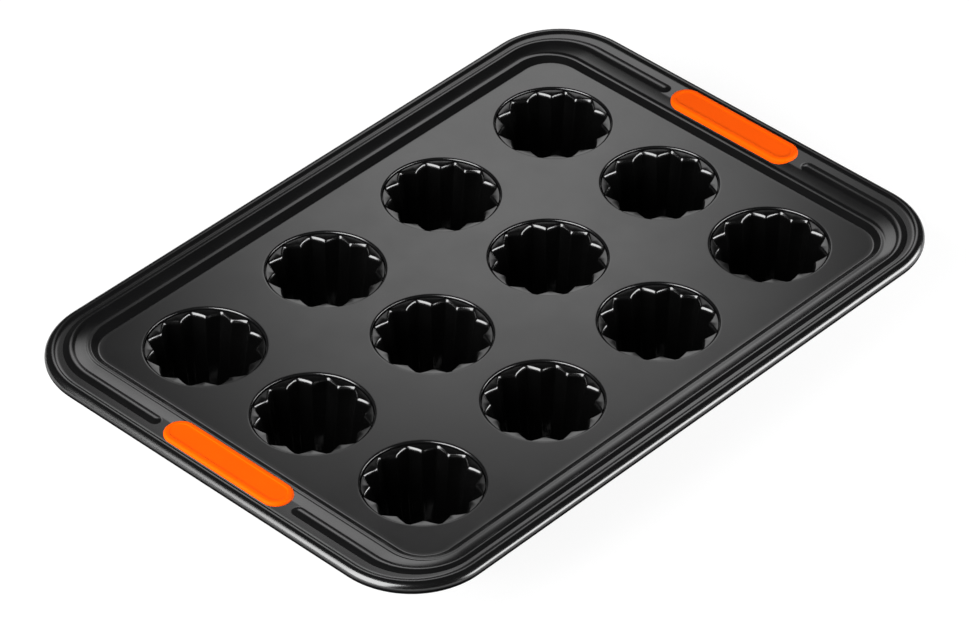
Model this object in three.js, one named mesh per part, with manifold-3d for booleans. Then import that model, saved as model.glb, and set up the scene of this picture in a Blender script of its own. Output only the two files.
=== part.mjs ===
// Canele pan: a pressed steel tray with twelve fluted cups and two silicone grips.
// Millimetres, +Z up. The pan stands on its cup floors at z = 0, centred on the Z axis,
// with its long side along X.

import * as THREE from 'three';
import { mergeVertices } from 'three/addons/utils/BufferGeometryUtils.js';
import Module from 'manifold-3d';

const wasm = await Module();
wasm.setup();

// Overall sizes
const panLength = 380;
const panWidth = 266;
const cornerRadius = 42;
const sheet = 0.8;                // steel sheet of the tray and of the cups
const seatGap = 0.3;              // clearance between pieces that seat on each other

// Cups
const cupColumns = 4;
const cupRows = 3;
const cupPitchX = 80.4;
const cupPitchY = 71.3;
const cupDepth = 46;              // from the tray's top face to the cup's floor
const mouthRadius = 29;           // round opening in the tray
const ledgeDrop = 1.4;            // from the tray's top face to the ledge around the flutes
const collarDepth = 2.4;          // how far the opening's turned-down collar reaches
const fluteCount = 12;
const fluteDepth = 3.4;           // from the outermost line of a flute to its inner tooth
const fluteRadius = 26.9;         // outermost line of the flutes, below their rounded lip
const lipRound = 1.7;             // rounding from the ledge into the flutes
const floorRadius = 20.8;         // outermost line of the flutes at the foot of the wall
const floorRound = 2.5;           // rounding from the wall into the floor

// Border of the tray, as insets from the outer edge and heights over the tray's top face
const shortBorder = 28.7;         // inset of the flat plate on the short sides
const longBorder = 21.3;          // inset of the flat plate on the long sides
const wallRun = 5;                // width of the sloping wall around the plate
const wallRise = 2.2;             // height of that wall
const flangeRise = 3.4;           // height of the flange outside it
const curlRadius = 3.3;           // outside of the rolled rim
const curlRise = 1.2;             // height of the rolled rim's centre
const curlEndAngle = 5.9;         // where the roll ends, in radians from its inner side

// Raised rib pressed into the flange, broken at both grips
const ribInsetShort = 13.4;
const ribInsetLong = 9.9;
const ribHalfShort = 3.1;         // half of the rib's width on the short sides
const ribHalfLong = 2.1;          // half of the rib's width on the long sides
const ribRise = 1;
const ribGapToGrip = 4;           // flat metal between a grip and the rib's rounded end

// Grips: a pad above the flange, a neck through a slot and a pad below
const gripLength = 80;
const gripWidth = 16.4;
const gripInset = 14.2;           // from the pan's end to the middle of the upper pad
const gripThickness = 2.6;
const gripRound = 0.8;            // rounding of the pads' edges
const slotLength = 66;
const slotWidth = 5;
const slotInset = 12.5;           // from the pan's end to the middle of the slot
const gripBackLap = 2;            // how far the lower pad reaches past the slot all round
const gripBackThickness = 2.2;

// Derived sizes
const plateTop = cupDepth + sheet;
const halfLength = panLength / 2;
const halfWidth = panWidth / 2;
const flangeTop = plateTop + flangeRise;
const curlCentre = plateTop + curlRise;
const ribEnd = gripLength / 2 + ribGapToGrip + ribHalfShort;

// Fineness of round shapes
const cornerSegments = 8;
const curlSegments = 12;
const wireSegments = 10;
const ribSegments = 6;
const mouthSegments = 2 * fluteCount;
const padSegments = 5;

const coat = new THREE.MeshStandardMaterial({ color: 0x232427, roughness: 0.4, metalness: 0.2 });
const steel = new THREE.MeshStandardMaterial({ color: 0xa8abaf, roughness: 0.35, metalness: 1 });
const silicone = new THREE.MeshStandardMaterial({ color: 0xff6200, roughness: 0.55, metalness: 0 });

// Bare closed mesh of a geometry: shared vertices merged, collapsed triangles left out.
function closed(geometry) {
  const bare = geometry.clone();
  bare.deleteAttribute('normal');
  bare.deleteAttribute('uv');
  const merged = mergeVertices(bare);
  const index = merged.index.array;
  const kept = [];
  for (let i = 0; i < index.length; i += 3) {
    const [a, b, c] = [index[i], index[i + 1], index[i + 2]];
    if (a !== b && b !== c && c !== a) kept.push(a, b, c);
  }
  merged.setIndex(kept);
  return merged;
}

function toSolid(geometry) {
  const mesh = closed(geometry);
  const vertProperties = new Float32Array(mesh.attributes.position.array);
  const triVerts = new Uint32Array(mesh.index.array);
  return new wasm.Manifold(new wasm.Mesh({ numProp: 3, vertProperties, triVerts }));
}

function toGeometry(solid) {
  const mesh = solid.getMesh();
  const geometry = new THREE.BufferGeometry();
  geometry.setAttribute('position', new THREE.BufferAttribute(mesh.vertProperties, 3));
  geometry.setIndex(new THREE.BufferAttribute(mesh.triVerts, 1));
  geometry.computeVertexNormals();
  return geometry;
}

// Solid turned about the Z axis from a profile of [radius, z] pairs.
function turned(profile, segments) {
  const points = profile.map(([radius, z]) => new THREE.Vector2(radius, z));
  const start = Math.PI / segments;
  return new THREE.LatheGeometry(points, segments, start).rotateX(Math.PI / 2);
}

// Ring that follows the pan's rounded outline. Each profile point has its own inset from the
// short sides, its inset from the long sides and its height. The profile runs outward over the
// top and back below, and closes on itself.
function outlineRing(profile) {
  const loop = [...profile, profile[0]].reverse();
  const radii = loop.map(([short, long]) => cornerRadius - (short + long) / 2);
  const segments = 4 * (cornerSegments + 1);
  const points = loop.map(([, , z], i) => new THREE.Vector2(radii[i], z));
  const ring = new THREE.LatheGeometry(points, segments, 0).rotateX(Math.PI / 2);
  const position = ring.attributes.position;
  for (let i = 0; i < position.count; i++) {
    const point = i % loop.length;
    const step = Math.floor(i / loop.length) % segments;
    const corner = Math.floor(step / (cornerSegments + 1));
    const along = (step % (cornerSegments + 1)) / cornerSegments;
    const angle = (corner + along) * Math.PI / 2;
    const sideX = corner === 0 || corner === 3 ? 1 : -1;
    const sideY = corner < 2 ? 1 : -1;
    const [short, long] = loop[point];
    const radius = radii[point];
    position.setX(i, sideX * (halfLength - short - radius) + radius * Math.cos(angle));
    position.setY(i, sideY * (halfWidth - long - radius) + radius * Math.sin(angle));
  }
  return ring;
}

function arc(inset, z, radius, from, to, segments) {
  return Array.from({ length: segments + 1 }, (_, i) => {
    const angle = from + (to - from) * i / segments;
    const across = inset + radius * Math.cos(angle);
    return [across, across, z + radius * Math.sin(angle)];
  });
}

function stadium(length, width) {
  const radius = width / 2;
  const reach = length / 2 - radius;
  const shape = new THREE.Shape();
  shape.absarc(0, reach, radius, 0, Math.PI);
  shape.absarc(0, -reach, radius, Math.PI, 2 * Math.PI);
  shape.closePath();
  return shape;
}

// Stadium-shaped slab along Y from z = bottom to z = top, its edges rounded by `round`.
function stadiumSlab(length, width, bottom, top, round) {
  const options = {
    depth: top - bottom - 2 * round,
    curveSegments: padSegments,
    bevelEnabled: round > 0,
    bevelThickness: round,
    bevelSize: round,
    bevelOffset: -round,
    bevelSegments: 2,
  };
  return new THREE.ExtrudeGeometry(stadium(length, width), options).translate(0, 0, bottom + round);
}

function cupCentres() {
  const centres = [];
  for (let column = 0; column < cupColumns; column++) {
    for (let row = 0; row < cupRows; row++) {
      const x = (column - (cupColumns - 1) / 2) * cupPitchX;
      const y = (row - (cupRows - 1) / 2) * cupPitchY;
      centres.push({ name: `cup_${column + 1}_${row + 1}`, x, y });
    }
  }
  return centres;
}

// Border: sloping wall, flange and rolled rim, from a lip under the plate out and back again.
function borderGeometry() {
  const lap = wallRun;
  const inner = curlRadius - sheet;
  const topAngle = Math.asin((flangeRise - curlRise) / curlRadius);
  const underAngle = Math.asin((flangeRise - sheet - curlRise) / inner);
  const wallTop = [shortBorder - wallRun, longBorder - wallRun];
  const ribFoot = [ribInsetShort + ribHalfShort, ribInsetLong + ribHalfLong];
  const profile = [
    [shortBorder + lap, longBorder + lap, plateTop],
    [shortBorder, longBorder, plateTop],
    [...wallTop, plateTop + wallRise],
    [...ribFoot, flangeTop],
    ...arc(curlRadius, curlCentre, curlRadius, topAngle, Math.PI, curlSegments / 2),
    ...arc(curlRadius, curlCentre, curlRadius, Math.PI, curlEndAngle, curlSegments / 2).slice(1),
    ...arc(curlRadius, curlCentre, inner, curlEndAngle, underAngle, curlSegments),
    [...ribFoot, flangeTop - sheet],
    [...wallTop, plateTop + wallRise - sheet],
    [shortBorder, longBorder, plateTop - sheet],
    [shortBorder + lap, longBorder + lap, plateTop - sheet],
  ];
  return outlineRing(profile);
}

function plateGeometry() {
  const lap = wallRun / 2;
  const x = halfLength - shortBorder - lap;
  const y = halfWidth - longBorder - lap;
  const radius = cornerRadius - (shortBorder + longBorder) / 2 - lap;
  const shape = new THREE.Shape();
  shape.absarc(x - radius, y - radius, radius, 0, Math.PI / 2);
  shape.absarc(radius - x, y - radius, radius, Math.PI / 2, Math.PI);
  shape.absarc(radius - x, radius - y, radius, Math.PI, 1.5 * Math.PI);
  shape.absarc(x - radius, radius - y, radius, 1.5 * Math.PI, 2 * Math.PI);
  shape.closePath();
  const options = { depth: sheet, bevelEnabled: false, curveSegments: cornerSegments / 2 };
  return new THREE.ExtrudeGeometry(shape, options).translate(0, 0, plateTop - sheet);
}

// Rib as an outline ring: a low arch that starts `lift` above the flange, on a `foot` below it.
function ribGeometry(lift, foot) {
  const arch = Array.from({ length: ribSegments + 1 }, (_, i) => {
    const across = 1 - 2 * i / ribSegments;
    const z = flangeTop + lift + ribRise * (1 - across * across);
    return [ribInsetShort + across * ribHalfShort, ribInsetLong + across * ribHalfLong, z];
  });
  const first = arch[0];
  const last = arch[ribSegments];
  const base = flangeTop + lift - foot;
  return outlineRing([...arch, [last[0], last[1], base], [first[0], first[1], base]]);
}

// Rounded end of a rib: the same arch turned about a vertical axis.
function ribEndGeometry(lift, foot) {
  const base = flangeTop + lift - foot;
  const arch = Array.from({ length: ribSegments / 2 + 1 }, (_, i) => {
    const across = 1 - 2 * i / ribSegments;
    return [across * ribHalfShort, flangeTop + lift + ribRise * (1 - across * across)];
  });
  return turned([[0, base], [ribHalfShort, base], ...arch], mouthSegments);
}

// Both ribs, broken at the grips and closed by rounded ends.
function ribs(lift, foot) {
  const gap = new THREE.BoxGeometry(2 * panLength, 2 * ribEnd, 2 * plateTop).translate(0, 0, plateTop);
  let solid = toSolid(ribGeometry(lift, foot)).subtract(toSolid(gap));
  for (const sideX of [-1, 1]) {
    for (const sideY of [-1, 1]) {
      const end = ribEndGeometry(lift, foot);
      end.translate(sideX * (halfLength - ribInsetShort), sideY * ribEnd, 0);
      solid = solid.add(toSolid(end));
    }
  }
  return solid;
}

function traySheet() {
  const foot = sheet / 2;
  const mouth = turned([
    [0, 0], [mouthRadius, 0], [mouthRadius, 2 * plateTop], [0, 2 * plateTop],
  ], mouthSegments);
  const collarOuter = mouthRadius + sheet;
  const collar = turned([
    [0, plateTop - collarDepth], [collarOuter, plateTop - collarDepth],
    [collarOuter, plateTop - foot], [0, plateTop - foot],
  ], mouthSegments);
  let solid = toSolid(borderGeometry()).add(toSolid(plateGeometry()));
  solid = solid.add(ribs(0, foot)).subtract(ribs(-sheet, foot));
  for (const { x, y } of cupCentres()) {
    solid = solid.add(toSolid(collar.clone().translate(x, y, 0)));
    solid = solid.subtract(toSolid(mouth.clone().translate(x, y, 0)));
  }
  for (const side of [-1, 1]) {
    const slot = stadiumSlab(slotLength, slotWidth, plateTop, flangeTop + flangeRise, 0);
    solid = solid.subtract(toSolid(slot.translate(side * (halfLength - slotInset), 0, 0)));
  }
  return toGeometry(solid);
}

// Wire that stiffens the rolled rim from inside.
function rimWire() {
  const radius = curlRadius - sheet - seatGap;
  const round = arc(curlRadius, curlCentre, radius, 0, 2 * Math.PI, wireSegments);
  return closed(outlineRing(round.slice(0, wireSegments)));
}

// Fluted cup. Its rim folds around the tray's collar: up inside it as the ledge, under it and
// up again outside it as a hook. Points marked true follow the flutes, the others are round.
function cup() {
  const ledge = plateTop - ledgeDrop;
  const seamTop = plateTop - collarDepth - seatGap;
  const seamBottom = seamTop - sheet;
  const hookTop = plateTop - sheet - seatGap;
  const hookInner = mouthRadius + sheet + seatGap;
  const hookOuter = hookInner + sheet;
  const riser = mouthRadius - seatGap;
  const wallFoot = sheet + floorRound;
  const profile = [
    [0, 0],
    [floorRadius + sheet - floorRound, 0, true],
    [floorRadius + sheet, floorRound, true],
    [fluteRadius + sheet, seamBottom, true],
    [hookOuter, seamBottom],
    [hookOuter, hookTop],
    [hookInner, hookTop],
    [hookInner, seamTop],
    [riser, seamTop],
    [riser, ledge],
    [Math.min(fluteRadius + lipRound, riser - sheet / 4), ledge, true],
    [fluteRadius, ledge - lipRound, true],
    [floorRadius, wallFoot, true],
    [floorRadius - floorRound, sheet, true],
    [0, sheet],
  ];
  const geometry = turned(profile, mouthSegments);
  const position = geometry.attributes.position;
  for (let i = 0; i < position.count; i++) {
    const [radius, , fluted] = profile[i % profile.length];
    const tooth = Math.floor(i / profile.length) % 2 === 0;
    if (!fluted || !tooth) continue;
    const scale = (radius - fluteDepth * radius / fluteRadius) / radius;
    position.setX(i, position.getX(i) * scale);
    position.setY(i, position.getY(i) * scale);
  }
  return closed(geometry);
}

// Silicone grip in the tray's own heights, at x = 0 for the middle of its upper pad.
function grip() {
  const padBottom = flangeTop + seatGap;
  const backTop = flangeTop - sheet - seatGap;
  const backWidth = slotWidth + 2 * gripBackLap;
  const backLength = slotLength + 2 * gripBackLap;
  const toSlot = gripInset - slotInset;
  const pad = stadiumSlab(gripLength, gripWidth, padBottom, padBottom + gripThickness, gripRound);
  const neck = stadiumSlab(
    slotLength - 2 * seatGap, slotWidth - 2 * seatGap, backTop - sheet, padBottom + sheet, 0);
  const back = stadiumSlab(backLength, backWidth, backTop - gripBackThickness, backTop, gripRound);
  const through = toSolid(neck.translate(toSlot, 0, 0)).add(toSolid(back.translate(toSlot, 0, 0)));
  return toGeometry(toSolid(pad).add(through));
}

const pan = new THREE.Group();

function place(name, geometry, material, x = 0, y = 0, turn = 0) {
  const mesh = new THREE.Mesh(geometry, material);
  mesh.name = name;
  mesh.position.set(x, y, 0);
  mesh.rotation.z = turn;
  pan.add(mesh);
}

place('tray_sheet', traySheet(), coat);
place('rim_wire', rimWire(), steel);

const cupGeometry = cup();
for (const { name, x, y } of cupCentres()) place(name, cupGeometry, coat, x, y);

const gripGeometry = grip();
place('grip_right', gripGeometry, silicone, halfLength - gripInset, 0);
place('grip_left', gripGeometry, silicone, gripInset - halfLength, 0, Math.PI);

export default pan;
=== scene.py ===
"""Looks of a canele pan: a coated steel tray, fluted cups, a wired rim and silicone grips."""

import logging
import math
from dataclasses import dataclass, field, fields
from enum import Enum

import bmesh
import bpy
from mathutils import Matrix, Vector
from mathutils.geometry import delaunay_2d_cdt


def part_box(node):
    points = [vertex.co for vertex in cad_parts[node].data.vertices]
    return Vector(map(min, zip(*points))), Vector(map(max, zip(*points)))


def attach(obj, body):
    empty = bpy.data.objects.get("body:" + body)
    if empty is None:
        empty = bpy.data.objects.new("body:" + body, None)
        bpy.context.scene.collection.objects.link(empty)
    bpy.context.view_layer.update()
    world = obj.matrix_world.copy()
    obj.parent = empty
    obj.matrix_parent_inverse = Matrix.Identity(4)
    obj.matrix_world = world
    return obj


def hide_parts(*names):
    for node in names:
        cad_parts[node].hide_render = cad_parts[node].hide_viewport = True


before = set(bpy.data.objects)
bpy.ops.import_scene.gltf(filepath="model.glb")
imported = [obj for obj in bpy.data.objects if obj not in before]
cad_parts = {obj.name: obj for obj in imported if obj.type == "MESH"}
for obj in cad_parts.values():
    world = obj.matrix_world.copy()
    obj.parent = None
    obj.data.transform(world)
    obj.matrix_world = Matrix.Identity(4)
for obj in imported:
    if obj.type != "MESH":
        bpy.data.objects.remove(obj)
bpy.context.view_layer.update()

LOG = logging.getLogger("canele_pan")
MM = 0.001
BODY = "root"
# Sizes that neighbouring pieces share
SHEET = 0.8 * MM
SEAT_GAP = 0.3 * MM
MOUTH_RADIUS = 29 * MM
COLLAR_DEPTH = 2.4 * MM
SLOT_LENGTH = 66 * MM
SLOT_WIDTH = 5 * MM
# Overlap with a slot from which a face is left out, and gap up to which vertices are merged
SLOT_TOLERANCE = 0.01 * MM
MERGE_DISTANCE = 0.001 * MM
# Digits of a length in metres in which two places count as one
PLACE_DIGITS = 7
# Kind of triangulation that keeps only faces inside the outlines, and its tolerance
INSIDE_ONLY = 1
FILL_TOLERANCE = 1e-7
# Colour sockets of a Mix node
MIX_FIRST, MIX_SECOND, MIX_RESULT = 6, 7, 2
# Middle of a lamp in its own coordinates
LAMP_MIDDLE = 0.5

Colour = tuple[float, float, float]
Pair = tuple[float, float]
# Insets from the short and the long sides, and heights over the plate at those sides
Section = tuple[float, float, float, float]


class Slot(Enum):
    """Names of the record's material slots; no piece here takes them."""

    TRAY = "tray_coat"
    CUP = "cup_coat"
    GRIP = "grip_silicone"


class End(Enum):
    """The pan's two short ends, with the side of X that each lies on."""

    LEFT = -1
    RIGHT = 1

    @property
    def node(self) -> str:
        """Name of the grip's node at this end."""
        return f"grip_{self.name.lower()}"


class Fade(Enum):
    """Shapes of a ramp between two values."""

    STRAIGHT = "LINEAR"
    SOFT = "SMOOTHSTEP"


class NodeBoard:
    """Adds nodes to a tree and links their sockets."""

    def __init__(self, tree: bpy.types.NodeTree) -> None:
        """Clears the tree.

        Args:
            tree: Shader or geometry tree to fill.
        """
        self.tree = tree
        tree.nodes.clear()

    def add(self, kind: str, inputs: dict[str | int, object] | None = None,
            **settings: object) -> bpy.types.Node:
        """Adds one node.

        Args:
            kind: Blender's identifier of the node type.
            inputs: Values or output sockets by input name or index.
            **settings: Properties of the node, such as its operation.

        Returns:
            The new node.
        """
        node = self.tree.nodes.new(kind)
        for name, value in settings.items():
            setattr(node, name, value)
        for key, value in (inputs or {}).items():
            socket = node.inputs[key]
            if isinstance(value, bpy.types.NodeSocket):
                self.tree.links.new(value, socket)
            else:
                socket.default_value = value
        return node

    def math(self, operation: str, *values: object) -> bpy.types.NodeSocket:
        """Adds a math node.

        Args:
            operation: Name of the operation.
            *values: Numbers or output sockets, in the order of the node's inputs.

        Returns:
            The node's output.
        """
        node = self.add("ShaderNodeMath", dict(enumerate(values)), operation=operation)
        return node.outputs[0]

    def ramp(self, value: bpy.types.NodeSocket, span: Pair, result: Pair = (0.0, 1.0),
             fade: Fade = Fade.STRAIGHT) -> bpy.types.NodeSocket:
        """Adds a node that maps one range to another.

        Args:
            value: Output to map.
            span: Values at which the ramp starts and ends.
            result: What the ramp gives there.
            fade: Shape of the ramp.

        Returns:
            The mapped value.
        """
        node = self.add("ShaderNodeMapRange", {
            "Value": value, "From Min": span[0], "From Max": span[1],
            "To Min": result[0], "To Max": result[1]}, interpolation_type=fade.value)
        return node.outputs["Result"]

    def noise(self, place: bpy.types.NodeSocket, scale: float, detail: float,
              roughness: float = 0.5) -> bpy.types.NodeSocket:
        """Adds a noise texture.

        Args:
            place: Output that gives the position.
            scale: Scale of the noise.
            detail: Number of its octaves.
            roughness: Weight of the finer octaves.

        Returns:
            The noise's value.
        """
        node = self.add("ShaderNodeTexNoise", {
            "Vector": place, "Scale": scale, "Detail": detail, "Roughness": roughness})
        return node.outputs["Fac"]

    def bump(self, height: bpy.types.NodeSocket, distance: float,
             strength: float) -> bpy.types.NodeSocket:
        """Adds a bump node.

        Args:
            height: Output that gives the relief.
            distance: Height of the relief in metres.
            strength: How much of it shows.

        Returns:
            The bent normal.
        """
        node = self.add("ShaderNodeBump", {
            "Strength": strength, "Distance": distance, "Height": height})
        return node.outputs["Normal"]

    def mix_colours(self, share: bpy.types.NodeSocket, first: Colour,
                    second: Colour) -> bpy.types.NodeSocket:
        """Adds a node that blends two colours.

        Args:
            share: Output that gives the second colour's share.
            first: Colour at a share of 0.
            second: Colour at a share of 1.

        Returns:
            The blended colour.
        """
        node = self.add("ShaderNodeMix", {
            "Factor": share, MIX_FIRST: (*first, 1), MIX_SECOND: (*second, 1)},
            data_type="RGBA")
        return node.outputs[MIX_RESULT]

    def object_place(self) -> bpy.types.NodeSocket:
        """Adds the object's own coordinates."""
        return self.add("ShaderNodeTexCoord").outputs["Object"]

    def principled(self, inputs: dict[str | int, object]) -> None:
        """Ends a material in a principled shader.

        Args:
            inputs: Values or output sockets by the shader's input name.
        """
        shader = self.add("ShaderNodeBsdfPrincipled", inputs)
        self.add("ShaderNodeOutputMaterial", {"Surface": shader.outputs["BSDF"]})


def new_material(name: str) -> tuple[bpy.types.Material, NodeBoard]:
    """Makes an empty node material.

    Args:
        name: Name of the material.

    Returns:
        The material and the board of its tree.
    """
    material = bpy.data.materials.new(name)
    material.use_nodes = True
    return material, NodeBoard(material.node_tree)


@dataclass(frozen=True)
class CoatFinish:
    """Satin black non-stick coat: smooth lacquer with a fine orange peel and faint clouding.

    Surfaces that face down lose their reflection: painted shade that keeps the rolled rim's
    underside dark instead of mirroring the floor.
    """

    name: str
    colour: Colour = (0.0028, 0.0028, 0.0029)
    cloud_colour: Colour = (0.0042, 0.0042, 0.0044)
    index: float = 1.8
    gloss: float = 0.5
    shaded_underside_gloss: float = 0.0
    shade_facing: Pair = (0.0, 0.3)
    roughness: Pair = (0.175, 0.225)
    cloud_scale: float = 38.0
    cloud_detail: float = 5.0
    cloud_roughness: float = 0.6
    cloud_span: Pair = (0.3, 0.7)
    peel_scale: float = 1300.0
    peel_detail: float = 2.0
    peel_height: float = 0.004 * MM
    peel_strength: float = 0.25

    def material(self) -> bpy.types.Material:
        """Builds the coat's material.

        Returns:
            The material.
        """
        material, board = new_material(self.name)
        place = board.object_place()
        normal = board.add("ShaderNodeTexCoord").outputs["Normal"]
        facing = board.add("ShaderNodeSeparateXYZ", {"Vector": normal}).outputs["Z"]
        clouds = board.noise(place, self.cloud_scale, self.cloud_detail, self.cloud_roughness)
        peel = board.noise(place, self.peel_scale, self.peel_detail)
        board.principled({
            "Base Color": board.mix_colours(clouds, self.colour, self.cloud_colour),
            "Roughness": board.ramp(clouds, self.cloud_span, self.roughness),
            "IOR": self.index,
            # Painted shade: the specular level falls to nothing on faces that point down
            "Specular IOR Level": board.ramp(
                facing, self.shade_facing, (self.shaded_underside_gloss, self.gloss)),
            "Normal": board.bump(peel, self.peel_height, self.peel_strength)})
        return material


@dataclass(frozen=True)
class SiliconeFinish:
    """Moulded orange silicone: soft sheen, fine matt grain and a slight tint change."""

    name: str
    colour: Colour = (0.97, 0.101, 0.0)
    deep_colour: Colour = (0.94, 0.087, 0.0)
    sheen: float = 0.2
    sheen_tint: Colour = (1.0, 0.5, 0.1)
    roughness: float = 0.6
    tint_scale: float = 60.0
    tint_detail: float = 3.0
    grain_scale: float = 2600.0
    grain_detail: float = 3.0
    grain_roughness: float = 0.65
    grain_height: float = 0.006 * MM
    grain_strength: float = 0.5

    def material(self) -> bpy.types.Material:
        """Builds the silicone's material.

        Returns:
            The material.
        """
        material, board = new_material(self.name)
        place = board.object_place()
        tint = board.noise(place, self.tint_scale, self.tint_detail)
        grain = board.noise(place, self.grain_scale, self.grain_detail, self.grain_roughness)
        board.principled({
            "Base Color": board.mix_colours(tint, self.colour, self.deep_colour),
            "Roughness": self.roughness,
            "Specular IOR Level": self.sheen,
            "Specular Tint": (*self.sheen_tint, 1),
            "Normal": board.bump(grain, self.grain_height, self.grain_strength)})
        return material


@dataclass(frozen=True)
class WireFinish:
    """Drawn steel wire: bare metal with faint drawing marks."""

    name: str
    colour: Colour = (0.52, 0.53, 0.54)
    roughness: Pair = (0.26, 0.44)
    mark_scale: float = 900.0
    mark_detail: float = 3.0

    def material(self) -> bpy.types.Material:
        """Builds the wire's material.

        Returns:
            The material.
        """
        material, board = new_material(self.name)
        marks = board.noise(board.object_place(), self.mark_scale, self.mark_detail)
        board.principled({
            "Base Color": (*self.colour, 1), "Metallic": 1.0,
            "Roughness": board.ramp(marks, (0.0, 1.0), self.roughness)})
        return material


@dataclass(frozen=True)
class FloorFinish:
    """White studio floor that keeps a soft shadow.

    The camera sees it glow white. Reflections show it as a pale board with that shadow.
    """

    name: str = "studio_floor"
    colour: Colour = (0.8, 0.8, 0.8)
    shadow_colour: Colour = (0.18, 0.18, 0.18)
    glow: float = 0.87
    mirrored_colour: Colour = (0.65, 0.65, 0.65)

    def material(self) -> bpy.types.Material:
        """Builds the floor's material.

        Returns:
            The material.
        """
        material, board = new_material(self.name)
        plain, mirrored, dim = (
            board.add("ShaderNodeBsdfDiffuse", {"Color": (*colour, 1)}).outputs["BSDF"]
            for colour in (self.colour, self.mirrored_colour, self.shadow_colour))
        light = board.add("ShaderNodeEmission", {"Strength": self.glow}).outputs["Emission"]
        white = board.add("ShaderNodeAddShader", {0: dim, 1: light}).outputs["Shader"]
        path = board.add("ShaderNodeLightPath").outputs
        glossy = board.math("MAXIMUM", path["Is Glossy Ray"], path["Is Transmission Ray"])
        below = board.add("ShaderNodeMixShader", {"Fac": glossy, 1: plain, 2: mirrored})
        floor = board.add("ShaderNodeMixShader", {
            "Fac": path["Is Camera Ray"], 1: below.outputs["Shader"], 2: white})
        board.add("ShaderNodeOutputMaterial", {"Surface": floor.outputs["Shader"]})
        return material


TRAY_COAT = CoatFinish("tray_black_coat")
# The cups' coat is a darker copy of the tray's: painted shade that keeps the cups' hollows black
CUP_COAT = CoatFinish("cup_black_coat_painted_shade", colour=(0.0008, 0.0008, 0.0008),
                      cloud_colour=(0.0014, 0.0014, 0.0014), shade_facing=(-0.3, 0.0))
# How far each grip lies off the middle of its side
GRIP_DRIFT = {End.LEFT: -0.9 * MM, End.RIGHT: 0.3 * MM}


def new_piece(name: str, mesh: bpy.types.Mesh) -> bpy.types.Object:
    """Puts a mesh into the scene at the origin.

    Args:
        name: Name of the piece.
        mesh: Its mesh, already in the pan's frame.

    Returns:
        The new object.
    """
    piece = bpy.data.objects.new(name, mesh)
    bpy.context.collection.objects.link(piece)
    return piece


def bake_modifiers(piece: bpy.types.Object) -> None:
    """Turns a piece with modifiers into a plain mesh.

    Args:
        piece: Object whose modifiers are applied and removed.
    """
    depsgraph = bpy.context.evaluated_depsgraph_get()
    baked = bpy.data.meshes.new_from_object(piece.evaluated_get(depsgraph))
    piece.modifiers.clear()
    piece.data = baked
    baked.name = piece.name


def shade(mesh: bpy.types.Mesh, sharp_degrees: float) -> None:
    """Shades a mesh smooth, apart from edges sharper than an angle.

    Args:
        mesh: Mesh to shade.
        sharp_degrees: Angle from which an edge stays sharp.
    """
    mesh.polygons.foreach_set("use_smooth", [True] * len(mesh.polygons))
    mesh.set_sharp_from_angle(angle=math.radians(sharp_degrees))


def face_outwards(mesh: bpy.types.Mesh) -> None:
    """Turns the faces of a closed mesh outwards.

    Args:
        mesh: Closed mesh.
    """
    shell = bmesh.new()
    shell.from_mesh(mesh)
    bmesh.ops.recalc_face_normals(shell, faces=shell.faces)
    if shell.calc_volume(signed=True) < 0:
        bmesh.ops.reverse_faces(shell, faces=shell.faces)
    shell.to_mesh(mesh)
    shell.free()


def bridge(shell: bmesh.types.BMesh, rings: list[list[bmesh.types.BMVert]]) -> None:
    """Joins neighbouring closed rings by faces.

    Args:
        shell: Mesh that grows.
        rings: Rings with equal numbers of vertices.
    """
    for ring, following in zip(rings, rings[1:]):
        for i in range(len(ring)):
            k = (i + 1) % len(ring)
            shell.faces.new((ring[i], following[i], following[k], ring[k]))


def hand_over(piece: bpy.types.Object, node: str) -> None:
    """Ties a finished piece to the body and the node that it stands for.

    Args:
        piece: Finished piece.
        node: Node that it replaces.
    """
    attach(piece, BODY)
    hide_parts(node)
    LOG.info("%s: %d faces", piece.name, len(piece.data.polygons))


def soft_corner(before: Section, corner: Section, after: Section, reach: float,
                steps: int) -> list[Section]:
    """Rounds one corner of a path by a parabola.

    Args:
        before: Point ahead of the corner.
        corner: The corner itself.
        after: Point behind the corner.
        reach: How far from the corner the rounding starts, in the short sides' section.
        steps: Number of segments.

    Returns:
        Points of the rounding, both ends included.
    """
    middle = Vector(corner)
    ends = []
    for point in (before, after):
        leg = Vector(point) - middle
        ends.append(tuple(middle + leg * (reach / math.hypot(leg[0], leg[2]))))
    return [curve_point(ends[0], corner, ends[1], i / steps) for i in range(steps + 1)]


def curve_point(first: Section, middle: Section, last: Section, share: float) -> Section:
    """Point of a parabola through three control points.

    Args:
        first: Start of the parabola.
        middle: Control point that it bends towards.
        last: End of the parabola.
        share: How far along it the point lies, from 0 to 1.

    Returns:
        The point.
    """
    weights = ((1 - share) ** 2, 2 * share * (1 - share), share ** 2)
    return tuple(weights[0] * a + weights[1] * b + weights[2] * c
                 for a, b, c in zip(first, middle, last))


def quarter_turn(steps: int) -> list[float]:
    """Angles from 0 to a right angle in equal steps."""
    return [math.pi / 2 * i / steps for i in range(steps + 1)]


def rounding(radius: float, steps: int) -> list[Pair]:
    """Quarter round between two faces of an edge.

    Args:
        radius: Radius of the round.
        steps: Number of segments.

    Returns:
        Distances from the second and the first face, starting on the first.
    """
    return [(radius * (1 - math.sin(a)), radius * (1 - math.cos(a)))
            for a in quarter_turn(steps)]


def onward(point: Section, run: Pair, rise: Pair) -> Section:
    """Moves a point of the border's section towards the rim.

    Args:
        point: Where it starts.
        run: Ways outwards on the short and the long sides.
        rise: Ways up there.

    Returns:
        The moved point.
    """
    return (point[0] - run[0], point[1] - run[1], point[2] + rise[0], point[3] + rise[1])


def eased(share: float) -> float:
    """Share from 0 to 1 with a soft start and end."""
    return (3 - 2 * share) * share * share


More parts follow.
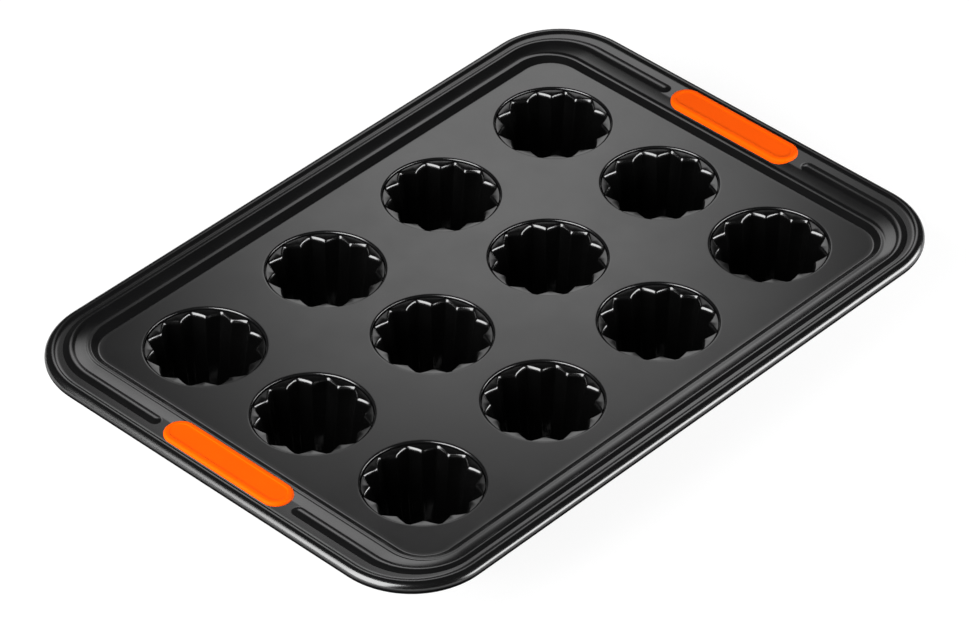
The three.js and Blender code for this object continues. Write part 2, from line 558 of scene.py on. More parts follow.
@dataclass(frozen=True)
class Station:
    """One place along the pan's outline: a point of a corner's arc or of a straight side."""

    side_x: int
    side_y: int
    angle: float = 0.0
    along_x: float | None = None
    along_y: float | None = None


@dataclass
class Tray:
    """Pressed tray: plate with round mouths, sloping wall, ribbed flange and rolled rim.

    Sizes in pairs are for the short and the long sides.
    """

    mouths: list[Vector]
    corner_radius: float = 42 * MM
    sheet: float = SHEET
    border: Pair = (29.0 * MM, 21.2 * MM)
    wall_run: Pair = (3.3 * MM, 3.6 * MM)
    wall_rise: Pair = (1.75 * MM, 2.3 * MM)
    lip_run: Pair = (1.4 * MM, 1.8 * MM)
    lip_tilt: float = 0.05
    step_run: Pair = (1.3 * MM, 0.6 * MM)
    step_rise: Pair = (0.46 * MM, 0.1 * MM)
    fold_softness: tuple[float, ...] = (0.6 * MM, 0.3 * MM, 0.5 * MM, 0.45 * MM)
    band_sag: float = 0.38
    band_steps: int = 8
    flange_rise: float = 3.4 * MM
    crease_rise: float = 3.7 * MM
    flange_fall: Pair = (0.45 * MM, 0.3 * MM)
    curl_radius: float = 3.3 * MM
    curl_rise: float = 1.2 * MM
    curl_end: float = 5.9
    crease_soft: float = 1.3 * MM
    rib_inset: Pair = (13.6 * MM, 9.8 * MM)
    rib_half: Pair = (3.4 * MM, 2.2 * MM)
    rib_rise: float = 0.8 * MM
    rib_fullness: float = 1.4
    rib_end: float = 47.1 * MM
    slot_inset: float = 12.5 * MM
    slot_width: float = SLOT_WIDTH
    slot_length: float = SLOT_LENGTH
    mouth_radius: float = MOUTH_RADIUS
    mouth_round_run: float = 1.0 * MM
    mouth_round_drop: float = 0.7 * MM
    collar_depth: float = COLLAR_DEPTH
    guard: float = 0.6 * MM
    plate_margin: float = 2.4 * MM
    crease_turn: float = 0.3
    last_station: float = 0.93
    sharp_degrees: float = 50
    corner_steps: int = 24
    long_side_parts: int = 4
    rib_end_parts: int = 8
    rib_end_span: tuple[int, int] = (-11, 5)
    fold_steps: int = 6
    mouth_steps: int = 96
    mouth_round_steps: int = 12
    rib_steps: int = 28
    curl_steps: int = 30
    half_length: float = field(init=False)
    half_width: float = field(init=False)
    plate_top: float = field(init=False)

    def __post_init__(self) -> None:
        """Takes the outline and the plate's height from the frame."""
        low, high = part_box("tray_sheet")
        self.half_length = (high[0] - low[0]) / 2
        self.half_width = (high[1] - low[1]) / 2
        self.plate_top = high[2] - self.curl_rise - self.curl_radius

    def stations(self) -> list[Station]:
        """Places along the outline, closer together where the short sides' ribs end.

        Returns:
            The places, anticlockwise from the +X side.
        """
        straight = self.half_width - self.corner_radius
        fine = [self.rib_end + k * self.rib_half[0] / self.rib_end_parts
                for k in range(*self.rib_end_span)]
        coarse = [0, self.slot_length / 4, self.slot_length / 2, self.last_station * straight]
        positive = sorted({round(y, PLACE_DIGITS) for y in (*coarse, *fine)})
        ends = [-y for y in reversed(positive) if y] + positive
        reach = self.half_length - self.corner_radius
        parts = self.long_side_parts
        middles = [reach * k / parts for k in range(1 - parts, parts)]
        arc = quarter_turn(self.corner_steps)
        return [
            *(Station(1, 0, along_y=y) for y in ends),
            *(Station(1, 1, a) for a in arc),
            *(Station(0, 1, along_x=-x) for x in middles),
            *(Station(-1, 1, a + math.pi / 2) for a in arc),
            *(Station(-1, 0, along_y=-y) for y in ends),
            *(Station(-1, -1, a + math.pi) for a in arc),
            *(Station(0, -1, along_x=x) for x in middles),
            *(Station(1, -1, a + 1.5 * math.pi) for a in arc),
        ]

    def section(self) -> list[Section]:
        """Border's section.

        Returns:
            Points from the plate over wall, lip, step, band and rib to the rolled rim.
        """
        plate = (*self.border, 0.0, 0.0)
        flat = onward(plate, (-self.plate_margin, -self.plate_margin), (0.0, 0.0))
        ridge = onward(plate, self.wall_run, self.wall_rise)
        lip = onward(ridge, self.lip_run, tuple(self.lip_tilt * run for run in self.lip_run))
        step = onward(lip, self.step_run, self.step_rise)
        foot = self.across_rib(1)
        sag = tuple((a + b) / 2 for a, b in zip(step[:2], foot[:2])) + tuple(
            low + self.band_sag * (high - low) for low, high in zip(step[2:], foot[2:]))
        folds = [flat, plate, ridge, lip, step, sag]
        points = [flat]
        for softness, *fold in zip(self.fold_softness, folds, folds[1:], folds[2:]):
            points += soft_corner(*fold, softness, self.fold_steps)
        start = points[-1]
        points += [curve_point(start, sag, foot, i / self.band_steps)
                   for i in range(1, self.band_steps)]
        points += [self.across_rib(1 - 2 * i / self.rib_steps)
                   for i in range(self.rib_steps + 1)]
        return points + self.curl_section()

    def across_rib(self, share: float) -> Section:
        """Point of the flange below the rib, from 1 at its inner to -1 at its outer foot."""
        return self.on_flange(*(inset + share * half
                                for inset, half in zip(self.rib_inset, self.rib_half)))

    def crease_angle(self) -> float:
        """Angle of the roll at which the flange meets it."""
        return math.asin((self.crease_rise - self.curl_rise) / self.curl_radius)

    def crease(self) -> float:
        """Inset of the crease between flange and rolled rim."""
        return self.curl_radius * (1 + math.cos(self.crease_angle()))

    def on_flange(self, short: float, long: float) -> Section:
        """Point of the flange, which rises gently towards the crease.

        Args:
            short: Inset from the short sides.
            long: Inset from the long sides.

        Returns:
            The point of the section.
        """
        start = self.crease() + self.crease_soft
        share = (short - start) / (self.rib_inset[0] + self.rib_half[0] - start)
        return (short, long, *(self.crease_rise - fall * share for fall in self.flange_fall))

    def curl_section(self) -> list[Section]:
        """Section of the crease and the rolled rim.

        Returns:
            Points from the flange over the top and under.
        """
        crease = self.crease()
        blend = self.crease_angle() + self.crease_turn

        def rolled(angle: float) -> Section:
            """Point of the roll's outside.

            Args:
                angle: Angle around the roll, from the inside over the top.

            Returns:
                The point of the section.
            """
            inset = self.curl_radius * (1 + math.cos(angle))
            rise = self.curl_rise + self.curl_radius * math.sin(angle)
            return (inset, inset, rise, rise)

        slot_edge = self.slot_inset - self.slot_width / 2
        flat = self.on_flange(crease + self.crease_soft, crease + self.crease_soft)
        long_rib = self.rib_inset[1] - self.rib_half[1]
        between = self.on_flange(slot_edge, (long_rib + flat[1]) / 2)
        corner = (crease, crease, self.crease_rise, self.crease_rise)
        after = rolled(blend)
        points = [between]
        points += [curve_point(flat, corner, after, i / self.fold_steps)
                   for i in range(self.fold_steps + 1)]
        for i in range(1, self.curl_steps + 1):
            points.append(rolled(blend + (self.curl_end - blend) * i / self.curl_steps))
        return points

    def rib_height(self, point: Section, station: Station) -> float:
        """Height that the pressed rib adds at one point of the flange.

        Args:
            point: Point of the section.
            station: Place along the outline.

        Returns:
            Height over the flange, in metres.
        """
        across = (point[0] - self.rib_inset[0]) / self.rib_half[0]
        past_end = 0.0
        if station.along_y is not None:
            past_end = max(0.0, self.rib_end - abs(station.along_y)) / self.rib_half[0]
        distance = math.hypot(across, past_end)
        if distance >= 1:
            return 0.0
        return self.rib_rise * (1 - distance ** 2) ** self.rib_fullness

    def place(self, point: Section, station: Station) -> Vector:
        """Position of a section's point at one station.

        Args:
            point: Insets from the short and the long sides and heights over the plate there.
            station: Place along the outline.

        Returns:
            The position in the pan's frame.
        """
        short, long, short_rise, long_rise = point
        radius = self.corner_radius - (short + long) / 2
        x = station.side_x * (self.half_length - short)
        y = station.side_y * (self.half_width - long)
        share = abs(station.side_x)
        if station.along_y is not None:
            y = station.along_y
        elif station.along_x is not None:
            x = station.along_x
        else:
            x += radius * (math.cos(station.angle) - station.side_x)
            y += radius * (math.sin(station.angle) - station.side_y)
            share = math.cos(station.angle) ** 2
        rise = long_rise + (short_rise - long_rise) * share
        return Vector((x, y, self.plate_top + rise + self.rib_height(point, station)))

    def in_slot(self, first: Section, second: Section, here: Station, there: Station) -> bool:
        """Tells whether a face of the flange lies in a grip's slot.

        Args:
            first: Point of the section at the face's inner edge.
            second: Point of the section at its outer edge.
            here: Station at its start.
            there: Station at its end.

        Returns:
            True where the face has to stay open.
        """
        if here.along_y is None or there.along_y is None or here.side_x != there.side_x:
            return False
        middle = (here.along_y + there.along_y) / 2
        inner = max(first[0], second[0]) - (self.slot_inset - self.slot_width / 2)
        outer = (self.slot_inset + self.slot_width / 2) - min(first[0], second[0])
        return min(inner, outer) > SLOT_TOLERANCE and abs(middle) < self.slot_length / 2

    def add_border(self, shell: bmesh.types.BMesh) -> list[bmesh.types.BMVert]:
        """Adds wall, flange and rim.

        Args:
            shell: Mesh that grows.

        Returns:
            Vertices of the ring that the plate joins.
        """
        section = self.section()
        stations = self.stations()
        rings = [[shell.verts.new(self.place(p, s)) for s in stations] for p in section]
        count = len(stations)
        for j, (ring, outer) in enumerate(zip(rings, rings[1:])):
            for i in range(count):
                k = (i + 1) % count
                if not self.in_slot(section[j], section[j + 1], stations[i], stations[k]):
                    shell.faces.new((ring[i], outer[i], outer[k], ring[k]))
        return rings[0]

    def add_mouth(self, shell: bmesh.types.BMesh, centre: Vector) -> list[bmesh.types.BMVert]:
        """Adds one mouth's rounded edge and collar.

        Args:
            shell: Mesh that grows.
            centre: Middle of the mouth.

        Returns:
            Vertices of the ring that the plate joins.
        """
        run, drop = self.mouth_round_run, self.mouth_round_drop
        section = [(self.mouth_radius + run + self.guard, 0.0)]
        section += [(self.mouth_radius + run * out, -drop * down)
                    for out, down in rounding(1.0, self.mouth_round_steps)]
        section.append((self.mouth_radius, -self.collar_depth))
        turns = [2 * math.pi * i / self.mouth_steps for i in range(self.mouth_steps)]
        rings = [[shell.verts.new((centre.x + radius * math.cos(turn),
                                   centre.y + radius * math.sin(turn),
                                   self.plate_top + rise)) for turn in turns]
                 for radius, rise in section]
        bridge(shell, rings)
        return rings[0]

    def add_plate(self, shell: bmesh.types.BMesh, loops: list[list[bmesh.types.BMVert]]) -> None:
        """Fills the flat plate between the border's inner ring and the mouths.

        Args:
            shell: Mesh that grows.
            loops: The border's ring, then each mouth's ring.
        """
        vertices, owners, edges = [], [], []
        for number, loop in enumerate(loops):
            first = len(vertices)
            vertices += loop
            owners += [number] * len(loop)
            edges += [(first + i, first + (i + 1) % len(loop)) for i in range(len(loop))]
        flat = [vertex.co.xy for vertex in vertices]
        _, _, faces, sources, _, _ = delaunay_2d_cdt(
            flat, edges, [], INSIDE_ONLY, FILL_TOLERANCE)
        for face in faces:
            corners = [sources[i][0] for i in face]
            touched = {owners[i] for i in corners}
            if 0 in touched or len(touched) > 1:
                shell.faces.new([vertices[i] for i in corners])

    def build(self) -> bpy.types.Object:
        """Builds the tray as a sheet of even thickness.

        Returns:
            The tray's object.
        """
        shell = bmesh.new()
        loops = [self.add_border(shell)]
        loops += [self.add_mouth(shell, mouth) for mouth in self.mouths]
        self.add_plate(shell, loops)
        bmesh.ops.recalc_face_normals(shell, faces=shell.faces)
        top = max(shell.faces, key=lambda face: face.calc_area())
        if top.normal.z < 0:
            bmesh.ops.reverse_faces(shell, faces=shell.faces)
        mesh = bpy.data.meshes.new("tray")
        shell.to_mesh(mesh)
        shell.free()
        piece = new_piece("tray", mesh)
        wall = piece.modifiers.new("sheet", "SOLIDIFY")
        wall.thickness = self.sheet
        wall.offset = -1
        wall.use_even_offset = True
        bake_modifiers(piece)
        shade(piece.data, self.sharp_degrees)
        return piece

    def dress(self, piece: bpy.types.Object, finish: CoatFinish) -> None:
        """Gives the tray its coat and ties it to the frame.

        Args:
            piece: The tray's object.
            finish: The coat's finish.
        """
        piece.data.materials.clear()
        piece.data.materials.append(finish.material())
        hand_over(piece, "tray_sheet")


@dataclass(frozen=True)
class CupPoint:
    """Point of a cup's section: radius, height, and how far flutes and rolled lip act there."""

    radius: float
    height: float
    fluting: float = 0.0
    rolled: float = 0.0


@dataclass
class FlutedCups:
    """Drawn cups with pleated walls, folded around the collars of the tray's mouths."""

    plate_top: float
    sheet: float = SHEET
    gap: float = SEAT_GAP
    mouth_radius: float = MOUTH_RADIUS
    collar_depth: float = COLLAR_DEPTH
    ledge_drop: float = 1.1 * MM
    edge_round: float = 0.35 * MM
    flutes: int = 12
    flute_radius: float = 27.2 * MM
    flute_depth: float = 3.7 * MM
    crispness: float = 0.982
    lip_round: float = 1.6 * MM
    lip_depth: float = 2.9 * MM
    ledge_slope: float = 0.05
    floor_radius: float = 20.8 * MM
    floor_round: float = 2.5 * MM
    floor_fluting: float = 0.5
    seam_fluting: float = 0.8
    sharp_degrees: float = 50
    steps_per_flute: int = 20
    round_steps: int = 6
    hook_steps: int = 8
    lip_steps: int = 18
    wall_steps: int = 6

    @staticmethod
    def names() -> list[str]:
        """Names of the cups' nodes."""
        return sorted(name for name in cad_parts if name.startswith("cup_"))

    @staticmethod
    def centre(node: str) -> Vector:
        """Middle of a cup, on the floor."""
        low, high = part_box(node)
        return Vector(((low[0] + high[0]) / 2, (low[1] + high[1]) / 2, low[2]))

    def section(self) -> list[CupPoint]:
        """Closed section of a cup.

        Returns:
            Points from the floor's underside out, up around the seam and back inside.
        """
        ledge = self.plate_top - self.ledge_drop
        seam_top = self.plate_top - self.collar_depth - self.gap
        seam_bottom = seam_top - self.sheet
        hook_top = self.plate_top - self.sheet - self.gap
        hook = self.mouth_radius + self.sheet + self.gap
        riser = self.mouth_radius - self.gap
        outside = self.sheet
        bend = self.edge_round
        foot = self.floor_round
        floor_turn = rounding(foot, self.round_steps)
        edge_turn = rounding(bend, self.round_steps)
        points = [CupPoint(0, 0), CupPoint((self.floor_radius + outside - foot) / 2, 0,
                                           self.floor_fluting)]
        points += [CupPoint(self.floor_radius + outside - inward, rise, 1)
                   for inward, rise in floor_turn]
        points += self.wall(foot, seam_bottom - 2 * bend, outside)
        points += [CupPoint(self.flute_radius + outside, seam_bottom - bend, 1),
                   CupPoint(self.flute_radius + outside + bend, seam_bottom,
                            self.seam_fluting)]
        rim = hook + self.sheet
        points += [CupPoint(rim - inward, seam_bottom + rise) for inward, rise in edge_turn]
        fold = self.sheet / 2
        points += [CupPoint(rim - fold * (1 - math.cos(a)), hook_top - fold * (1 - math.sin(a)))
                   for a in (math.pi * i / self.hook_steps
                             for i in range(self.hook_steps + 1))]
        points += [CupPoint(hook, seam_top), CupPoint(riser, seam_top)]
        points += [CupPoint(riser - inward, -drop, 0, 1) for drop, inward in edge_turn]
        points += [CupPoint(self.flute_radius + outward, 0, 1, 1)
                   for outward, _ in rounding(self.lip_round, self.lip_steps)]
        points += reversed(self.wall(self.sheet + foot, ledge - self.lip_depth, 0.0)[:-1])
        points += [CupPoint(self.floor_radius - inward, self.sheet + rise, 1)
                   for rise, inward in floor_turn]
        points += [CupPoint((self.floor_radius - foot) / 2, self.sheet, self.floor_fluting),
                   CupPoint(0, self.sheet)]
        return points

    def wall(self, bottom: float, top: float, outside: float) -> list[CupPoint]:
        """Tapered wall's section.

        Args:
            bottom: Height of its foot.
            top: Height of its top.
            outside: Distance outwards from the inner face.

        Returns:
            Points from the foot up, without the foot itself.
        """
        points = []
        for i in range(1, self.wall_steps + 1):
            share = i / self.wall_steps
            radius = self.floor_radius + (self.flute_radius - self.floor_radius) * share
            points.append(CupPoint(radius + outside, bottom + (top - bottom) * share, 1))
        return points

    def blank(self, name: str) -> bpy.types.Object:
        """Flat strip of the cup: one column per turn step, with its section as attributes.

        Args:
            name: Name of the piece.

        Returns:
            The strip's object.
        """
        section = self.section()
        columns = self.flutes * self.steps_per_flute
        rows = len(section)
        turns = [2 * math.pi * i / columns for i in range(columns + 1)]
        vertices = [(turn, j * MM, 0) for turn in turns for j in range(rows)]
        faces = [(i * rows + j, (i + 1) * rows + j, (i + 1) * rows + j + 1, i * rows + j + 1)
                 for i in range(columns) for j in range(rows - 1)]
        mesh = bpy.data.meshes.new(name)
        mesh.from_pydata(vertices, [], faces)
        values = {"turn": [turn for turn in turns for _ in section]}
        for entry in fields(CupPoint):
            values[entry.name] = [getattr(point, entry.name) for _ in turns for point in section]
        for key, numbers in values.items():
            mesh.attributes.new(key, "FLOAT", "POINT").data.foreach_set("value", numbers)
        return new_piece(name, mesh)

    def pleating(self) -> tuple[bpy.types.NodeTree, dict[str, str]]:
        """Geometry tree that bends the flat strip into a pleated cup.

        Returns:
            The tree, and the identifiers of its inputs by name.
        """
        tree = bpy.data.node_groups.new("pleated_cup", "GeometryNodeTree")
        board = NodeBoard(tree)
        numbers = ("Flutes", "Depth", "Full Radius", "Crispness", "Lip Round", "Lip Depth",
                   "Lip Radius", "Ledge", "Ledge Slope")
        kinds = {"Strip": "NodeSocketGeometry", **dict.fromkeys(numbers, "NodeSocketFloat"),
                 "Centre": "NodeSocketVector", "Coat": "NodeSocketMaterial"}
        sockets = {name: tree.interface.new_socket(name, in_out="INPUT", socket_type=kind)
                   for name, kind in kinds.items()}
        tree.interface.new_socket("Cup", in_out="OUTPUT", socket_type="NodeSocketGeometry")
        given = board.add("NodeGroupInput").outputs

        def read(name: str) -> bpy.types.NodeSocket:
            """Reads one of the strip's attributes."""
            return board.add("GeometryNodeInputNamedAttribute", {"Name": name},
                             data_type="FLOAT").outputs["Attribute"]

        turn, radius = read("turn"), read("radius")
        swing = board.math("COSINE", board.math("MULTIPLY", turn, given["Flutes"]))
        bent = board.math("ARCSINE", board.math("MULTIPLY", swing, given["Crispness"]))
        share = board.math("DIVIDE", bent, board.math("ARCSINE", given["Crispness"]))
        tooth = board.math("MULTIPLY_ADD", share, -0.5, 0.5)
        depth = board.math("MULTIPLY", given["Depth"],
                           board.math("DIVIDE", radius, given["Full Radius"]))
        dent = board.math("MULTIPLY", board.math("MULTIPLY", tooth, depth), read("fluting"))
        rolled = read("rolled")
        # Away from the lip the limit is a metre further out, so it limits nothing there
        limit = board.math("ADD", board.math("SUBTRACT", 1.0, rolled), given["Lip Radius"])
        reach = board.math("MINIMUM", board.math("SUBTRACT", radius, dent), limit)
        wall = board.math("SUBTRACT", given["Full Radius"],
                          board.math("MULTIPLY", tooth, given["Depth"]))
        past = board.math("SUBTRACT", board.math("ADD", wall, given["Lip Round"]), reach)
        inside = board.math("MINIMUM", board.math("DIVIDE", board.math(
            "MAXIMUM", past, 0.0), given["Lip Round"]), 1.0)
        drop = board.math("MULTIPLY", given["Lip Depth"], board.math(
            "SUBTRACT", 1.0, board.math("SQRT", board.math(
                "SUBTRACT", 1.0, board.math("POWER", inside, 2.0)))))
        fall = board.math("MULTIPLY", given["Ledge Slope"],
                          board.math("SUBTRACT", given["Lip Radius"], reach))
        level = board.math("MULTIPLY", rolled, board.math(
            "SUBTRACT", given["Ledge"], board.math("ADD", drop, fall)))
        height = board.math("ADD", read("height"), level)
        point = board.add("ShaderNodeCombineXYZ", {
            "X": board.math("MULTIPLY", reach, board.math("COSINE", turn)),
            "Y": board.math("MULTIPLY", reach, board.math("SINE", turn)),
            "Z": height})
        moved = board.add("ShaderNodeVectorMath", {0: point.outputs[0], 1: given["Centre"]},
                          operation="ADD")
        placed = board.add("GeometryNodeSetPosition", {
            "Geometry": given["Strip"], "Position": moved.outputs[0]})
        closed = board.add("GeometryNodeMergeByDistance", {
            "Geometry": placed.outputs[0], "Distance": MERGE_DISTANCE})
        smooth = board.add("GeometryNodeSetShadeSmooth", {"Geometry": closed.outputs[0]})
        solid = board.add("GeometryNodeRealizeInstances", {"Geometry": smooth.outputs[0]})
        coated = board.add("GeometryNodeSetMaterial", {
            "Geometry": solid.outputs[0], "Material": given["Coat"]})
        board.add("NodeGroupOutput", {"Cup": coated.outputs[0]})
        return tree, {name: socket.identifier for name, socket in sockets.items()}

    def build(self, coat: bpy.types.Material) -> dict[str, bpy.types.Object]:
        """Builds every cup.

        Args:
            coat: Material of the cups.

        Returns:
            The cups by node name.
        """
        tree, inputs = self.pleating()
        settings = {
            "Flutes": float(self.flutes),
            "Depth": self.flute_depth,
            "Full Radius": self.flute_radius,
            "Crispness": self.crispness,
            "Lip Round": self.lip_round,
            "Lip Depth": self.lip_depth,
            "Lip Radius": self.mouth_radius - self.gap - self.edge_round,
            "Ledge": self.plate_top - self.ledge_drop,
            "Ledge Slope": self.ledge_slope,
            "Coat": coat,
        }
        cups = {}
        for node in self.names():
            piece = self.blank(f"fluted_{node}")
            pleats = piece.modifiers.new("pleats", "NODES")
            pleats.node_group = tree
            for name, value in {**settings, "Centre": self.centre(node)}.items():
                pleats[inputs[name]] = value
            bake_modifiers(piece)
            for key in ("turn", *(entry.name for entry in fields(CupPoint))):
                piece.data.attributes.remove(piece.data.attributes[key])
            face_outwards(piece.data)
            shade(piece.data, self.sharp_degrees)
            cups[node] = piece
        return cups

    def dress(self, cups: dict[str, bpy.types.Object]) -> None:
        """Ties the coated cups to the frame.

        Args:
            cups: The cups by node name.
        """
        for node, piece in cups.items():
            hand_over(piece, node)


@dataclass(frozen=True)
class PadRing:
    """Oblong ring of a grip: its sizes, its shifts, and how far its inner side hangs down."""

    length: float
    width: float
    height: float
    shift: float = 0.0
    drift: float = 0.0
    skirt: float = 0.0


@dataclass
class Grip:
    """Silicone grip: rimmed upper pad, neck through the slot and lower pad."""

    end: End
    flange_top: float
    drift: float
    sheet: float = SHEET
    gap: float = SEAT_GAP
    length: float = 78.5 * MM
    width: float = 16.4 * MM
    thickness: float = 2.1 * MM
    skirt: float = 1.3 * MM
    skirt_start: float = 0.3
    edge_round: float = 1.5 * MM
    under_round: float = 0.5 * MM
    rim_width: float = 1.1 * MM
    face_drop: float = 0.28 * MM
    slot_length: float = SLOT_LENGTH
    slot_width: float = SLOT_WIDTH
    slot_shift: float = 1.7 * MM
    back_lap: float = 2 * MM
    back_thickness: float = 2.2 * MM
    sharp_degrees: float = 40
    half_turn_steps: int = 28
    face_steps: int = 5
    edge_steps: int = 8
    under_steps: int = 4

    def rings(self) -> list[PadRing]:
        """Rings of the grip.

        Returns:
            Rings from the middle of the upper face out, down and in to the lower pad's face.
        """
        top = self.flange_top + self.gap + self.thickness
        bottom = self.flange_top + self.gap
        back_top = self.flange_top - self.sheet - self.gap
        back_bottom = back_top - self.back_thickness

        def pad(inward: float, height: float, skirt: float = 0.0) -> PadRing:
            """Ring of the upper pad.

            Args:
                inward: Distance from the pad's outline.
                height: Height of the ring.
                skirt: How far its inner side hangs down.

            Returns:
                The ring.
            """
            return PadRing(self.length - 2 * inward, self.width - 2 * inward, height,
                           drift=self.drift, skirt=skirt)

        def back(inward: float, height: float) -> PadRing:
            """Ring of the lower pad.

            Args:
                inward: Distance from the pad's outline.
                height: Height of the ring.

            Returns:
                The ring.
            """
            lap = 2 * (self.back_lap - inward)
            return PadRing(self.slot_length + lap, self.slot_width + lap, height,
                           self.slot_shift)

        rim = self.edge_round + self.rim_width
        drop = self.face_drop
        slope = 2 * drop
        under = rounding(self.under_round, self.under_steps)
        rings = [pad(rim + slope + drop + self.rim_width, top - drop)]
        rings += [pad(rim + slope * (1 - t), top - drop * (1 - eased(t)))
                  for t in (i / self.face_steps for i in range(self.face_steps + 1))]
        rings += [pad(inward, top - fall)
                  for inward, fall in rounding(self.edge_round, self.edge_steps)]
        rings += [pad(inward, bottom + rise, self.skirt) for rise, inward in under]
        neck = self.back_lap + self.gap
        rings += [back(neck, bottom), back(neck, back_top)]
        rings += [back(inward, back_top - fall) for inward, fall in under]
        rings += [back(inward, back_bottom + rise) for rise, inward in under]
        rings.append(back(self.back_lap / 2, back_bottom))
        return rings

    def outline(self, ring: PadRing, centre_x: float) -> list[Vector]:
        """Points of one oblong ring.

        Args:
            ring: Its sizes.
            centre_x: Middle of the upper pad.

        Returns:
            The points, anticlockwise.
        """
        radius = ring.width / 2
        reach = ring.length / 2 - radius
        x = centre_x + self.end.value * ring.shift
        points = []
        for side, start in ((1, 0.0), (-1, math.pi)):
            for i in range(self.half_turn_steps + 1):
                angle = start + math.pi * i / self.half_turn_steps
                inner = -self.end.value * math.cos(angle)
                hang = max(0.0, inner - self.skirt_start) / (1 - self.skirt_start)
                points.append(Vector((x + radius * math.cos(angle),
                                      ring.drift + side * reach + radius * math.sin(angle),
                                      ring.height - ring.skirt * hang)))
        return points

    def build(self) -> bpy.types.Object:
        """Builds the grip as one closed moulding.

        Returns:
            The grip's object.
        """
        low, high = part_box(self.end.node)
        middle = (low[0] + high[0]) / 2
        shell = bmesh.new()
        loops = [[shell.verts.new(p) for p in self.outline(ring, middle)]
                 for ring in self.rings()]
        bridge(shell, loops)
        shell.faces.new(loops[0])
        shell.faces.new(list(reversed(loops[-1])))
        mesh = bpy.data.meshes.new(f"pad_{self.end.node}")
        shell.to_mesh(mesh)
        shell.free()
        face_outwards(mesh)
        shade(mesh, self.sharp_degrees)
        return new_piece(mesh.name, mesh)

    def dress(self, piece: bpy.types.Object, material: bpy.types.Material) -> None:
        """Gives the grip its silicone and ties it to the frame.

        Reflections in the coat leave the grips out.

        Args:
            piece: The grip's object.
            material: The silicone.
        """
        piece.data.materials.append(material)
        piece.visible_glossy = False
        hand_over(piece, self.end.node)


def dress_wire(finish: WireFinish) -> None:
    """Gives the wire in the rim its steel.

    Args:
        finish: The steel's finish.
    """
    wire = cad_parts["rim_wire"]
    wire.data.materials.clear()
    wire.data.materials.append(finish.material())
    LOG.info("rim_wire: steel")


@dataclass(frozen=True)
class SoftBox:
    """Studio softbox with feathered edges, hung by direction and distance from the pan."""

    name: str
    azimuth: float
    elevation: float
    distance: float
    size: Pair
    radiance: float
    feather: Pair

    def place(self, height: float) -> Vector:
        """Position of the softbox.

        Args:
            height: Height of the point that it faces.

        Returns:
            The position in the pan's frame.
        """
        turn, rise = math.radians(self.azimuth), math.radians(self.elevation)
        way = Vector((math.cos(turn) * math.cos(rise), math.sin(turn) * math.cos(rise),
                      math.sin(rise)))
        return Vector((0, 0, height)) + way * self.distance

    def feathered(self, lamp: bpy.types.AreaLight) -> None:
        """Lets the light fade towards the lamp's edges.

        Args:
            lamp: Lamp whose nodes are built.
        """
        lamp.use_nodes = True
        board = NodeBoard(lamp.node_tree)
        across = board.add("ShaderNodeSeparateXYZ", {
            0: board.add("ShaderNodeNewGeometry").outputs["Parametric"]})
        fades = []
        for axis, width in zip("XY", self.feather):
            edge = board.math("PINGPONG", across.outputs[axis], LAMP_MIDDLE)
            fades.append(board.ramp(edge, (0.0, width), fade=Fade.SOFT))
        light = board.add("ShaderNodeEmission", {"Strength": board.math("MULTIPLY", *fades)})
        board.add("ShaderNodeOutputLight", {"Surface": light.outputs["Emission"]})

    def build(self, height: float) -> bpy.types.Object:
        """Hangs the softbox.

        Args:
            height: Height of the point that it faces.

        Returns:
            The lamp's object.
        """
        lamp = bpy.data.lights.new(self.name, "AREA")
        lamp.shape = "RECTANGLE"
        lamp.size, lamp.size_y = self.size
        lamp.energy = self.radiance * math.pi * self.size[0] * self.size[1]
        self.feathered(lamp)
        piece = bpy.data.objects.new(self.name, lamp)
        piece.location = self.place(height)
        facing = piece.location - Vector((0, 0, height))
        piece.rotation_euler = facing.to_track_quat("Z", "Y").to_euler()
        piece.visible_camera = False
        bpy.context.collection.objects.link(piece)
        return piece


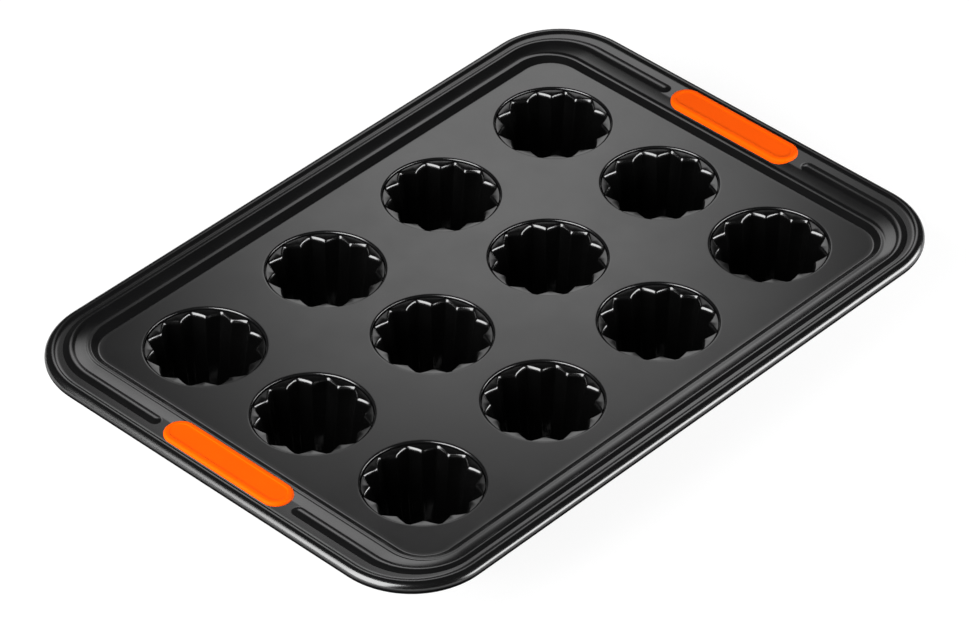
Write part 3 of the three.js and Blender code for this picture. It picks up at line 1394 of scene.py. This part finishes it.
@dataclass
class Studio:
    """Pale floor, backdrop light, lamps and camera."""

    plate_top: float
    azimuth: float = -46.6
    elevation: float = 39.05
    distance: float = 2.4635
    lens: float = 192.5
    sensor_width: float = 36
    clip_end: float = 50
    target: Pair = (-11.35 * MM, -6.92 * MM)
    floor_half: float = 6.0
    floor_gap: float = 0.1 * MM
    ambient: float = 0.028
    back_light: float = 0.035
    back_azimuth: float = 43.4
    back_facing: Pair = (0.62, 0.9)
    back_lower_edge: Pair = (4, 14)
    back_upper_edge: Pair = (46, 30)
    lamps: tuple[SoftBox, ...] = (
        SoftBox("left_softbox", azimuth=174.4, elevation=29, distance=1.3, size=(1.33, 1.5),
                radiance=8.4, feather=(0.1, 0.1)),
        SoftBox("right_strip", azimuth=-56.0, elevation=10.2, distance=0.61, size=(0.95, 0.29),
                radiance=8.8, feather=(0.2, 0.2)),
        SoftBox("back_softbox", azimuth=43.0, elevation=31, distance=1.25, size=(0.655, 0.717),
                radiance=1.46, feather=(0.42, 0.29)),
    )

    def build_floor(self, finish: FloorFinish) -> None:
        """Lays the floor that the pan stands on.

        Args:
            finish: The floor's finish.
        """
        half = self.floor_half
        mesh = bpy.data.meshes.new("floor")
        low = -self.floor_gap
        corners = [(-half, -half, low), (half, -half, low), (half, half, low), (-half, half, low)]
        mesh.from_pydata(corners, [], [(0, 1, 2, 3)])
        mesh.materials.append(finish.material())
        new_piece("floor", mesh)

    def build_world(self) -> None:
        """Wraps the scene in a dim studio with a paler patch of wall behind the pan."""
        world = bpy.data.worlds.new("studio")
        bpy.context.scene.world = world
        world.use_nodes = True
        board = NodeBoard(world.node_tree)
        way = board.add("ShaderNodeTexCoord").outputs["Generated"]
        parts = board.add("ShaderNodeSeparateXYZ", {0: way})
        height = board.math("ARCSINE", parts.outputs["Z"])
        heading = math.radians(self.back_azimuth)
        towards = board.add("ShaderNodeVectorMath", {
            0: way, 1: (math.cos(heading), math.sin(heading), 0)}, operation="DOT_PRODUCT")
        patch = board.ramp(towards.outputs["Value"], self.back_facing, fade=Fade.SOFT)
        for edge in (self.back_lower_edge, self.back_upper_edge):
            span = (math.radians(edge[0]), math.radians(edge[1]))
            patch = board.math("MULTIPLY", patch, board.ramp(height, span, fade=Fade.SOFT))
        level = board.math("MULTIPLY_ADD", patch, self.back_light, self.ambient)
        sky = board.add("ShaderNodeBackground", {"Strength": level})
        board.add("ShaderNodeOutputWorld", {"Surface": sky.outputs["Background"]})

    def build_lamps(self) -> None:
        """Hangs the big softbox on the left, the low strip on the right and the one behind."""
        for lamp in self.lamps:
            lamp.build(self.plate_top)

    def build_camera(self) -> None:
        """Sets the camera at the photograph's viewing angle."""
        azimuth, elevation = math.radians(self.azimuth), math.radians(self.elevation)
        back = Vector((math.sin(azimuth) * math.cos(elevation),
                       -math.cos(azimuth) * math.cos(elevation), math.sin(elevation)))
        camera = bpy.data.objects.new("camera", bpy.data.cameras.new("camera"))
        camera.data.sensor_fit = "HORIZONTAL"
        camera.data.sensor_width = self.sensor_width
        camera.data.lens = self.lens
        camera.data.clip_end = self.clip_end
        camera.location = Vector((*self.target, self.plate_top)) + back * self.distance
        camera.rotation_euler = (-back).to_track_quat("-Z", "Y").to_euler()
        bpy.context.collection.objects.link(camera)
        bpy.context.scene.camera = camera

    def build(self) -> None:
        """Builds camera, floor, world and lamps."""
        self.build_camera()
        self.build_floor(FloorFinish())
        self.build_world()
        self.build_lamps()
        bpy.context.scene.view_settings.view_transform = "Standard"


def main() -> None:
    """Builds and dresses the pan, then the studio around it."""
    logging.basicConfig(level=logging.INFO, format="%(name)s %(message)s")
    tray = Tray([FlutedCups.centre(node) for node in FlutedCups.names()])
    tray.dress(tray.build(), TRAY_COAT)
    cups = FlutedCups(tray.plate_top)
    cups.dress(cups.build(CUP_COAT.material()))
    silicone = SiliconeFinish("orange_silicone").material()
    for end, drift in GRIP_DRIFT.items():
        grip = Grip(end, tray.plate_top + tray.flange_rise, drift)
        grip.dress(grip.build(), silicone)
    dress_wire(WireFinish("drawn_steel"))
    Studio(tray.plate_top).build()


if __name__ == "__main__":
    main()
